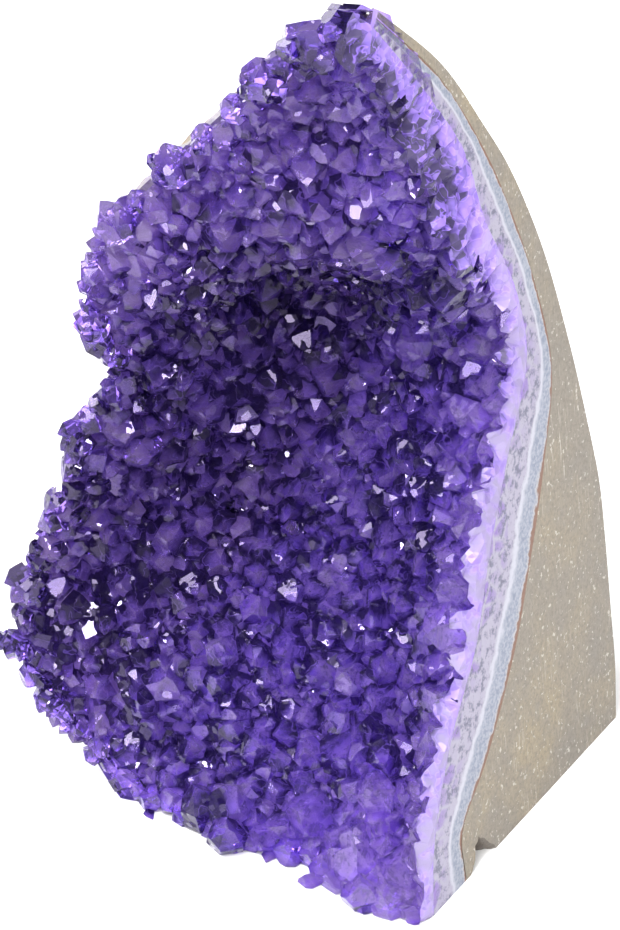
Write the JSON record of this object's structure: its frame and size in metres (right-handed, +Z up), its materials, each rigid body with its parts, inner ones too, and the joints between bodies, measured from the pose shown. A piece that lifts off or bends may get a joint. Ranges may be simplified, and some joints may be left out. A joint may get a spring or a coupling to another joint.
{
  "type": "amethyst geode",
  "caption": "Free-standing amethyst geode: a sawn piece of basalt with an agate rind and a hollow front crusted with purple crystals, resting on its flat base.",
  "frame": {"origin": "centre of the bounding box, on the plane of the flat sawn base", "axes": "+Z up, the crystals face -Y, the sawn side faces +X"},
  "size_m": [0.0919, 0.0812, 0.1593],
  "materials": {
    "basalt": "matt sawn and rough rock",
    "agate": "satin banded agate and milky quartz",
    "amethyst": "clear glossy crystal"
  },
  "bodies": {
    "root": {"basalt_matrix": "basalt", "agate_rind": "agate", "amethyst_crust": "amethyst"}
  },
  "joints": []
}
